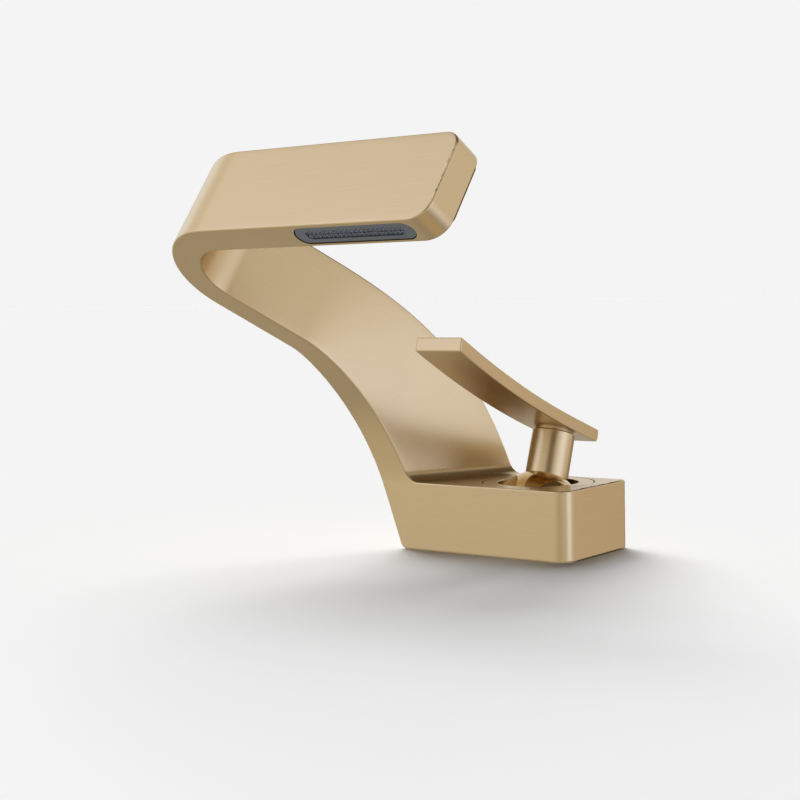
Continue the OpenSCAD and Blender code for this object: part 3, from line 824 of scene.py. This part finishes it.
    def hollow_tools(self) -> list[BMesh]:
        """Shapes the hollows of the block for cartridge, ring, inlets, stud and seal.

        Returns:
            One closed shape for each hollow.
        """
        levels = (
            (self.bay_r, self.flange_z),
            (self.flange_r, self.nut_z),
            (self.nut_r, self.ring_z),
            (self.ring_r, self.base_h + OVER),
        )
        tools = [lathe(stacked(self.seat_z, *levels))]
        inlet = (self.inlet_y, self.inlet_r, self.inlet_depth)
        stud = (0.0, self.stud_y, self.stud_r, self.stud_depth)
        for x, y, r, depth in ((-self.inlet_x, *inlet), (self.inlet_x, *inlet), stud):
            tip = depth + r * self.drill_tip_share
            tools.append(moved(lathe([(0, -OVER), (r, -OVER), (r, depth), (0, tip)], steps=48), (x, y, 0)))
        inner, outer, depth = self.seal_in_r, self.seal_out_r, self.seal_depth
        groove = lathe([(inner, -OVER), (outer, -OVER), (outer, depth), (inner, depth)])
        tools.append(moved(groove, (0, self.seal_y, 0)))
        return [moved(tool, (self.cart_x, 0, 0)) for tool in tools]

    def build(self, outlet: "Outlet") -> Object:
        """Builds the casting and cuts its hollows.

        Args:
            outlet: gives the shape of the pocket in the slab's front edge.

        Returns:
            The dressed piece.
        """
        last = self.columns
        shares = [i / last for i in range(last + 1)]
        sections = []
        for a, b, c, d in self.corners():
            sections.append([mix(a, b, share) for share in shares] + [mix(c, d, share) for share in shares])
        bm, rings = sweep(sections)
        lay_swept(bm, rings)
        rails = (0, last, last + 1, 2 * last + 1)
        sharp = [bm.edges.get((a[k], b[k])) for a, b in zip(rings, rings[1:]) for k in rails]
        for ring in (rings[0], rings[-1]):
            sharp += [bm.edges.get((ring[k], ring[k + 1])) for k in range(2 * last + 1) if k != last]
        bevel(bm, sharp, self.edge_r)
        bmesh.ops.recalc_face_normals(bm, faces=bm.faces)
        piece = mesh_object(bm, "casting")
        carve(piece, [*self.hollow_tools(), outlet.pocket_tool()])
        return dress(piece, "base", Slot.satin_gold, "body")


# Outlet


@dataclass
class Outlet:
    """The dark outlet in the slab's front edge: a frame, a soft strip and its two rows of jets."""

    casting: Casting
    length: float = 53.4
    height: float = 9.2
    depth: float = 9.0
    inset: float = 34.3
    gap: float = 0.25
    sink: float = 0.3
    rim: float = 1.15
    lip: float = 0.18
    lip_share: float = 0.3
    plate_t: float = 0.9
    slot_r: float = 2.3
    slot_half: float = 19.6
    gasket: float = 0.8
    screen: float = 0.6
    jets: int = 22
    jet_row: float = 2.4
    jet_r: float = 0.85
    jet_h: float = 0.86
    jet_shoulder: float = 0.45
    # How far in from the jet's side and down from its end the points of its rounding lie
    jet_rounding: tuple[Place, ...] = ((0.07, 0.08), (0.19, 0.0))
    jet_bore_r: float = 0.5
    jet_bore_depth: float = 1.0
    jet_eye_r: float = 0.2
    jet_root: float = 1.2
    jet_margin_share: float = 1.5
    turn_steps: int = 32

    @property
    def half(self) -> float:
        """Half the distance between the middles of the two round ends."""
        return (self.length - self.height) / 2

    @property
    def frame_r(self) -> float:
        """Outer radius of the frame's round ends."""
        return self.height / 2 - self.gap

    def place(self, x: float, depth: float, z: float) -> Vector:
        """Returns a point given along the slab, into its front edge and through its thickness."""
        middle = self.casting.slab_corner + Vector((self.casting.slab_end - self.inset + x, 0, 0))
        return middle + self.casting.across * depth + self.casting.through * z

    def outline(self, radius: float, depth: float, half: float) -> list[Vector]:
        """Works out a long round-ended outline at a depth below the slab's edge.

        Args:
            radius: radius of its round ends.
            depth: how deep it lies.
            half: half the distance between its ends' middles.

        Returns:
            The outline's points.
        """
        points = []
        for k in range(self.turn_steps):
            turn = math.tau * (k + 0.5) / self.turn_steps
            x, z = radius * math.cos(turn), radius * math.sin(turn)
            points.append(self.place(x + math.copysign(half, x), depth, z))
        return points

    def pocket_tool(self) -> BMesh:
        """Returns the closed shape that cuts the pocket."""
        return sweep([self.outline(self.height / 2, depth, self.half) for depth in (-OVER, self.depth)])[0]

    def build(self) -> list[Object]:
        """Builds and dresses the frame and the jet strip.

        Returns:
            Both pieces.
        """
        outer, inner = self.frame_r, self.frame_r - self.rim
        back = self.depth - self.gasket - self.screen - FIT
        plate = self.sink + self.plate_t
        lip, near = self.lip, self.lip * self.lip_share
        profile = [
            (outer, back, self.half),
            (outer, self.sink + lip, self.half),
            (outer - near, self.sink + near, self.half),
            (outer - lip, self.sink, self.half),
            (self.slot_r + lip, self.sink, self.slot_half),
            (self.slot_r + near, self.sink + near, self.slot_half),
            (self.slot_r, self.sink + lip, self.slot_half),
            (self.slot_r, plate, self.slot_half),
            (inner, plate + FIT, self.half),
            (inner, back, self.half),
        ]
        bm, _ = sweep([self.outline(*point) for point in (*profile, profile[0])], caps=False)
        bmesh.ops.remove_doubles(bm, verts=bm.verts, dist=WELD)
        bmesh.ops.recalc_face_normals(bm, faces=bm.faces)
        rim = dress(mesh_object(bm, "outlet_rim"), "base", Slot.grey_plastic, "outlet_frame")
        strip = dress(self.strip(inner - FIT), "base", Slot.grey_silicone, "jet_strip")
        return [rim, strip]

    def jet(self) -> Mesh:
        """Makes one jet: a short nozzle with its bore, on a sunk root, pointing along Z.

        Returns:
            Its mesh, in millimetres.
        """
        profile = [(self.jet_r, 0.0), (self.jet_r, self.jet_shoulder)]
        profile += [(self.jet_r - inwards, self.jet_h - down) for inwards, down in self.jet_rounding]
        profile += [
            (self.jet_bore_r, self.jet_h),
            (self.jet_bore_r, -self.jet_bore_depth),
            (self.jet_eye_r, -self.jet_bore_depth),
            (self.jet_eye_r, -self.jet_root),
            (self.jet_r, -self.jet_root),
        ]
        shape = lathe(profile, steps=14)
        mesh = bpy.data.meshes.new("jet")
        shape.to_mesh(mesh)
        shape.free()
        return mesh

    def strip(self, radius: float) -> Object:
        """Builds the soft strip with its jets.

        Args:
            radius: radius of its round ends.

        Returns:
            The strip, as one piece.
        """
        face = self.sink + self.rim
        back = self.depth - self.gasket - self.screen - self.rim * 2
        bm, _ = sweep([self.outline(radius, depth, self.half) for depth in (back, face)])
        through, out = self.casting.through, -self.casting.across
        turn = Matrix((through.cross(out), through, out)).transposed().to_4x4()
        first = self.slot_half + self.slot_r - self.jet_r * self.jet_margin_share
        pitch = first * 2 / (self.jets - 1)
        mesh = self.jet()
        for row in (-1, 1):
            for k in range(self.jets):
                start = len(bm.verts)
                bm.from_mesh(mesh)
                bm.verts.ensure_lookup_table()
                place = Matrix.Translation(self.place(pitch * k - first, face, row * self.jet_row / 2))
                bmesh.ops.transform(bm, matrix=place @ turn, verts=bm.verts[start:])
        bpy.data.meshes.remove(mesh)
        bmesh.ops.recalc_face_normals(bm, faces=bm.faces)
        return mesh_object(bm, "outlet_jets")


# Ring, dome, post and lever


@dataclass
class Handle:
    """The upper mechanism: dome, post and paddle lever, drawn with the post upright and then leaned open."""

    cart_x: float = 12.1
    pivot_z: float = 19.5
    open_lean: float = 19.0
    post_r: float = 8.8
    post_offset: float = 3.0
    post_foot: float = 9.95
    post_top: float = 29.9
    post_foot_edge_r: float = 0.25
    post_top_edge_r: float = 0.3
    spigot_r: float = 7.4
    spigot_foot: float = 7.8
    spigot_edge_r: float = 0.2
    lever_base: float = 31.1
    neck_r: float = 7.7
    neck_core_r: float = 6.4
    neck_seam: float = 0.45
    neck_bite: float = 0.2
    lever_w: float = 20.5
    lever_t: float = 5.2
    lever_front: float = 87.0
    tip_back: float = 1.3
    lever_tail: float = 21.3
    lever_curve_r: float = 520.0
    lever_edge_r: float = 0.45
    lever_edge_angle: float = 50.0
    lever_steps: int = 40
    tail_edge_r: float = 1.3
    tail_steps: int = 5
    dome_r: float = 20.0
    dome_shift: float = 1.0
    dome_t: float = 0.6
    dome_steps: int = 40
    dome_inner_steps: int = 16
    dome_crease: float = 30.0
    skirt_drop: float = 1.2
    foot_gap: float = 0.12
    foot_depth: float = 1.3
    foot_tool_top: float = 20.0
    ring_low_z: float = 25.8
    bush_r: float = 4.6
    bush_foot: float = 11.7
    bush_top: float = 23.5
    bush_tool_over: float = 5.0
    set_screw_r: float = 2.05
    set_screw_tool_l: float = 14.0
    stud_r: float = 3.03
    stud_wall: float = 1.0
    stud_tool_top: float = 33.0
    stud_tool_foot: float = 20.0
    stud_depth_share: float = 0.6

    def put(self, bm: BMesh) -> BMesh:
        """Leans a shape drawn in the handle's own space to its place in the frame.

        Args:
            bm: the shape, in millimetres.

        Returns:
            The same shape.
        """
        turn = Matrix.Rotation(math.radians(-self.open_lean), 4, "X")
        matrix = Matrix.Translation((self.cart_x, 0, self.pivot_z)) @ turn
        bmesh.ops.transform(bm, matrix=matrix, verts=bm.verts)
        return bm

    def put_on_post(self, bm: BMesh) -> BMesh:
        """Brings a shape drawn about the post's own axis to its place, and returns it."""
        return self.put(moved(bm, (0, self.post_offset, 0)))

    def post(self) -> Object:
        """Builds the round post with its spigot and its bores.

        Returns:
            The dressed piece.
        """
        profile = stacked(self.spigot_foot, (self.spigot_r, self.post_foot), (self.post_r, self.post_top))
        radii = [0, self.spigot_edge_r, 0, self.post_foot_edge_r, self.post_top_edge_r, 0]
        piece = mesh_object(self.put_on_post(lathe(rounded(profile, radii), steps=128)), "post")
        bush_r, bush_foot = self.bush_r + FIT, self.bush_foot - self.bush_tool_over
        bush = lathe(stacked(bush_foot, (bush_r, self.bush_top)), steps=64)
        hole = lathe(stacked(0.0, (self.set_screw_r, self.set_screw_tool_l)), steps=32)
        bmesh.ops.rotate(hole, matrix=Matrix.Rotation(math.radians(-90), 3, "X"), verts=hole.verts)
        hole = moved(hole, (0, 0, (self.bush_foot + self.bush_top) / 2))
        stud = lathe(stacked(self.bush_top + self.stud_wall, (self.stud_r, self.stud_tool_top)), steps=32)
        carve(piece, [self.put(bush), self.put_on_post(hole), self.put_on_post(stud)])
        return dress(piece, "handle", Slot.satin_gold, "handle_post")

    def dome(self) -> Object:
        """Builds the polished dome, a thin cap of a ball with the post's foot let into it.

        Returns:
            The dressed piece.
        """
        reach = self.post_offset + self.post_r - self.dome_shift
        drop = math.sqrt(self.dome_r**2 - reach**2) - self.post_foot
        rim = self.ring_low_z - self.pivot_z + drop - self.skirt_drop
        inner_r = self.dome_r - self.dome_t
        profile = arc(self.dome_r, 0.0, math.acos(rim / self.dome_r), self.dome_steps)
        profile += arc(inner_r, math.acos(rim / inner_r), 0.0, self.dome_inner_steps)
        bm = lathe(profile, steps=160)
        bmesh.ops.rotate(bm, matrix=Matrix.Rotation(math.radians(self.open_lean / 2), 3, "X"), verts=bm.verts)
        piece = mesh_object(self.put(moved(bm, (0, self.dome_shift, -drop))), "dome")
        levels = ((self.spigot_r + FIT, self.post_foot), (self.post_r + self.foot_gap, self.foot_tool_top))
        foot = lathe(stacked(self.post_foot - self.foot_depth, *levels), steps=128)
        carve(piece, [self.put_on_post(foot)])
        return dress(piece, "handle", Slot.polished_gold, "dome_cap", self.dome_crease)

    def lever_outlines(self) -> list[list[Vector]]:
        """Works out the blade's sections, from its raised tip to its tail behind the post.

        Returns:
            The four corners of each section.
        """
        half, curve_r, inner_r = self.lever_w / 2, self.lever_curve_r, self.lever_curve_r - self.lever_t
        reach = math.asin(self.lever_front / curve_r)
        sides = []
        for k in range(self.lever_steps + 1):
            turn = reach * (1 - k / self.lever_steps)
            # The tip's end face leans: its lower edge lies further back than its upper one
            under = turn if k else math.asin((self.lever_front - self.tip_back) / curve_r)
            low = (-math.sin(under) * curve_r, (1 - math.cos(under)) * curve_r)
            high = (-math.sin(turn) * inner_r, self.lever_t + (1 - math.cos(turn)) * inner_r)
            sides.append((low, high))
        sides.append(((self.lever_tail, 0.0), (self.lever_tail, self.lever_t)))
        outlines = []
        for low, high in sides:
            around = ((-half, low), (half, low), (half, high), (-half, high))
            outlines.append([Vector((x, y, self.lever_base + z)) for x, (y, z) in around])
        return outlines

    def lever(self) -> Object:
        """Builds the paddle lever with its neck.

        Returns:
            The dressed piece.
        """
        bm, rings = sweep(self.lever_outlines())
        lay_swept(bm, rings)
        a, b, c, d = rings[-1]
        bevel(bm, [bm.edges.get((a, b)), bm.edges.get((c, d))], self.tail_edge_r, self.tail_steps)
        bm.normal_update()
        limit = math.radians(self.lever_edge_angle)
        edges = [e for e in bm.edges if len(e.link_faces) == 2 and e.calc_face_angle(0) > limit]
        bevel(bm, edges, self.lever_edge_r)
        bmesh.ops.recalc_face_normals(bm, faces=bm.faces)
        piece = mesh_object(self.put(bm), "lever_blade")
        seam, root = self.post_top + self.neck_seam, self.lever_base + self.neck_bite
        neck = lathe(stacked(self.post_top, (self.neck_core_r, seam), (self.neck_r, root)))
        carve(piece, [self.put_on_post(neck)], "UNION")
        stud_top = self.lever_base + self.lever_t * self.stud_depth_share + FIT
        stud = lathe(stacked(self.stud_tool_foot, (self.stud_r, stud_top)), steps=32)
        carve(piece, [self.put_on_post(stud)])
        return dress(piece, "handle", Slot.satin_gold, "lever")

    def build(self) -> list[Object]:
        """Builds and dresses dome, post and lever, and returns them."""
        return [self.dome(), self.post(), self.lever()]


@dataclass
class TrimRing:
    """The flat ring let into the block's top round the dome."""

    cart_x: float = 12.1
    outer_r: float = 22.45
    hole_r: float = 16.42
    top_z: float = 28.0
    thickness: float = 2.2
    edge_r: float = 0.25
    groove_depth: float = 0.9
    groove_h: float = 1.0

    def build(self) -> Object:
        """Builds and dresses the ring with the groove of its seal.

        Returns:
            The dressed piece.
        """
        low, top = self.top_z - self.thickness, self.top_z
        groove_low, groove_top = ((low + top + side * self.groove_h) / 2 for side in (-1, 1))
        hole, side, deep = self.hole_r, self.outer_r, self.outer_r - self.groove_depth
        profile = [(hole, low), (side, low), (side, groove_low), (deep, groove_low)]
        profile += [(deep, groove_top), (side, groove_top), (side, top), (hole, top)]
        radii = [self.edge_r, self.edge_r, 0, 0, 0, 0, self.edge_r, self.edge_r]
        bm = moved(lathe(rounded(profile, radii), steps=160), (self.cart_x, 0, 0))
        return dress(mesh_object(bm, "deck_ring"), "base", Slot.satin_gold, "trim_ring")


def dress_cad_nodes() -> None:
    """Gives every CAD node that stays its finish."""
    for row in frame["record"]["subparts"]:
        for slot in frame["nodes"][row["node"]].material_slots:
            slot.material = Slot[row["material_slot"]].value.material()


# Studio


@dataclass(frozen=True)
class SoftBox:
    """One soft patch of the surround: its place, how wide it is and how bright. Angles are in degrees."""

    azimuth: float
    elevation: float
    inner: float
    outer: float
    strength: float
    colour: str = "#FFFFFF"

    def toward(self) -> Vector:
        """Returns the direction of the patch's middle, seen from the faucet."""
        turn, rise = math.radians(self.azimuth), math.radians(self.elevation)
        return Vector((math.cos(rise) * math.cos(turn), math.cos(rise) * math.sin(turn), math.sin(rise)))


@dataclass(frozen=True)
class Sun:
    """One soft light: its direction from the faucet, width in degrees and share of the floor's light."""

    name: str
    toward: tuple[float, float, float]
    width: float
    share: float


@dataclass
class Studio:
    """A plain pale floor and backdrop, soft light and the photo's camera."""

    backdrop: str = "#F4F4F4"
    floor_albedo: float = 0.85
    floor_half_m: float = 60.0
    # Height above the horizon, from -1 to 1, and how bright the surround is there
    heights: tuple[Place, ...] = (
        (-1.0, 0.45),
        (-0.4, 0.5),
        (-0.03, 0.9),
        (0.05, 0.905),
        (0.3, 0.91),
        (1.0, 0.7),
    )
    boxes: tuple[SoftBox, ...] = (
        SoftBox(62, 58, 20, 32, 0.12, "#FFE0B8"),
        SoftBox(80, 84, 8, 24, 0.12, "#FFE0B8"),
        SoftBox(5, 2, 4, 29, 2.1, "#D3DEFF"),
        SoftBox(168, 60, 6, 24, 0.6, "#FFF0DC"),
        SoftBox(-146, 42, 7, 32, 1.62, "#E0E9FF"),
        SoftBox(-129, 23, 5, 18, 1.85, "#DDE5FF"),
        SoftBox(163, 19, 4, 16, 1.42, "#EAF4FF"),
        SoftBox(180, 37, 2, 12, 0.95, "#FFF6EA"),
        SoftBox(-127, -4, 8, 24, 0.88),
        SoftBox(56, -9, 6, 22, 0.85, "#FFF6EC"),
        SoftBox(84, -5, 6, 26, 0.36, "#FFE6C6"),
        SoftBox(-72, -8, 4, 20, 0.64, "#FFF4E4"),
        SoftBox(-50, 27, 7, 24, 0.11, "#FFC98C"),
        SoftBox(-7, -56, 8, 30, 0.66, "#FFEFD6"),
        SoftBox(150, -50, 20, 44, 0.552, "#FFFBF0"),
        SoftBox(-134, -28, 8, 24, 0.74, "#FFFAEE"),
        SoftBox(-57, -26, 8, 24, 0.68, "#FFF6E4"),
    )
    suns: tuple[Sun, ...] = (
        Sun("key", (-0.75, 0.66, 1.3), 56.0, 0.56),
        Sun("low_key", (-0.82, 0.57, 0.7), 40.0, 0.4),
        Sun("fill", (0.1, 0.1, 1.0), 120.0, 0.04),
    )
    camera_place: tuple[float, float, float] = (0.35540, -0.54944, 0.10315)
    azimuth: float = 36.9
    pitch: float = 3.62
    roll: float = -1.1
    lens: float = 72.0
    sensor: float = 36.0
    clip_m: float = 0.01

    def camera(self) -> None:
        """Makes the camera at the photo's place and angle."""
        data = bpy.data.cameras.new("camera")
        data.lens = self.lens
        data.sensor_width = self.sensor
        data.sensor_fit = "HORIZONTAL"
        data.clip_start = self.clip_m
        made = bpy.data.objects.new("camera", data)
        made.matrix_world = Matrix.Translation(self.camera_place)
        for angle, axis in ((self.azimuth, "Z"), (90 - self.pitch, "X"), (self.roll, "Z")):
            made.matrix_world = made.matrix_world @ Matrix.Rotation(math.radians(angle), 4, axis)
        bpy.context.scene.collection.objects.link(made)
        bpy.context.scene.camera = made

    def floor(self) -> None:
        """Makes the pale floor. The metal mirrors the surround in its place, as over a grey bench."""
        bm = bmesh.new()
        bmesh.ops.create_grid(bm, x_segments=1, y_segments=1, size=self.floor_half_m)
        mesh = bpy.data.meshes.new("floor")
        bm.to_mesh(mesh)
        bm.free()
        made = bpy.data.objects.new("floor", mesh)
        bpy.context.scene.collection.objects.link(made)
        made.visible_glossy = False
        paper = bpy.data.materials.new("matt_paper_backdrop")
        paper.use_nodes = True
        tree = paper.node_tree
        tree.nodes.clear()
        matt = add_node(tree, "ShaderNodeBsdfDiffuse", {"Color": (*(self.floor_albedo,) * 3, 1.0)})
        add_node(tree, "ShaderNodeOutputMaterial", {"Surface": matt.outputs["BSDF"]})
        mesh.materials.append(paper)

    def light(self, sun: Sun) -> None:
        """Makes one soft light that the metal doesn't mirror.

        Args:
            sun: what the light is like.
        """
        way = Vector(sun.toward).normalized()
        data = bpy.data.lights.new(sun.name, "SUN")
        data.angle = math.radians(sun.width)
        # A matt floor sends back albedo * power * cos / pi
        data.energy = sun.share * linear(self.backdrop)[0] * math.pi / (self.floor_albedo * way.z)
        made = bpy.data.objects.new(sun.name, data)
        made.matrix_world = way.to_track_quat("Z", "Y").to_matrix().to_4x4()
        made.visible_glossy = False
        bpy.context.scene.collection.objects.link(made)

    def surround(self) -> None:
        """Makes the surround that the metal mirrors: a pale ring at eye height, soft boxes and dark flags."""
        made = bpy.data.worlds.new("surround")
        made.use_nodes = True
        made.cycles_visibility.diffuse = False
        tree = made.node_tree
        source = add_node(tree, "ShaderNodeTexCoord")
        way = source.outputs["Generated"]
        split = add_node(tree, "ShaderNodeSeparateXYZ", {"Vector": way})
        height = add_node(tree, "ShaderNodeMapRange", {"Value": split.outputs["Z"], "From Min": -1.0})
        ramp = add_node(tree, "ShaderNodeValToRGB", {"Fac": height.outputs["Result"]})
        stops = ramp.color_ramp
        stops.interpolation = "EASE"
        while len(stops.elements) < len(self.heights):
            stops.elements.new(0.5)
        for stop, (z, level) in zip(stops.elements, self.heights):
            stop.position = (z + 1) / 2
            stop.color = (level, level, level, 1.0)
        colour = ramp.outputs["Color"]
        for box in self.boxes:
            pair = {0: way, 1: box.toward()}
            facing = add_node(tree, "ShaderNodeVectorMath", pair, operation="DOT_PRODUCT")
            edge, core = (math.cos(math.radians(angle)) for angle in (box.outer, box.inner))
            span = {"Value": facing.outputs["Value"], "From Min": edge, "From Max": core}
            share = add_node(tree, "ShaderNodeMapRange", span, interpolation_type="SMOOTHSTEP")
            level = dimmed(linear(box.colour), box.strength)
            layers = {"Factor": share.outputs["Result"], 6: colour, 7: level}
            colour = add_node(tree, "ShaderNodeMix", layers, data_type="RGBA", clamp_factor=True).outputs[2]
        tree.links.new(colour, tree.nodes["Background"].inputs["Color"])
        bpy.context.scene.world = made

    def build(self) -> None:
        """Sets up camera, floor and light."""
        self.camera()
        self.floor()
        self.surround()
        for sun in self.suns:
            self.light(sun)
        bpy.context.scene.view_settings.view_transform = "Standard"


def main() -> None:
    """Builds the faucet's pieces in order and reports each."""
    Studio().build()
    dress_cad_nodes()
    casting = Casting()
    outlet = Outlet(casting)
    for piece in (casting.build(outlet), *outlet.build(), TrimRing().build(), *Handle().build()):
        LOG.info("%s: %d faces", piece.name, len(piece.data.polygons))


if __name__ == "__main__":
    logging.basicConfig(level=logging.INFO, format="%(name)s %(message)s")
    main()
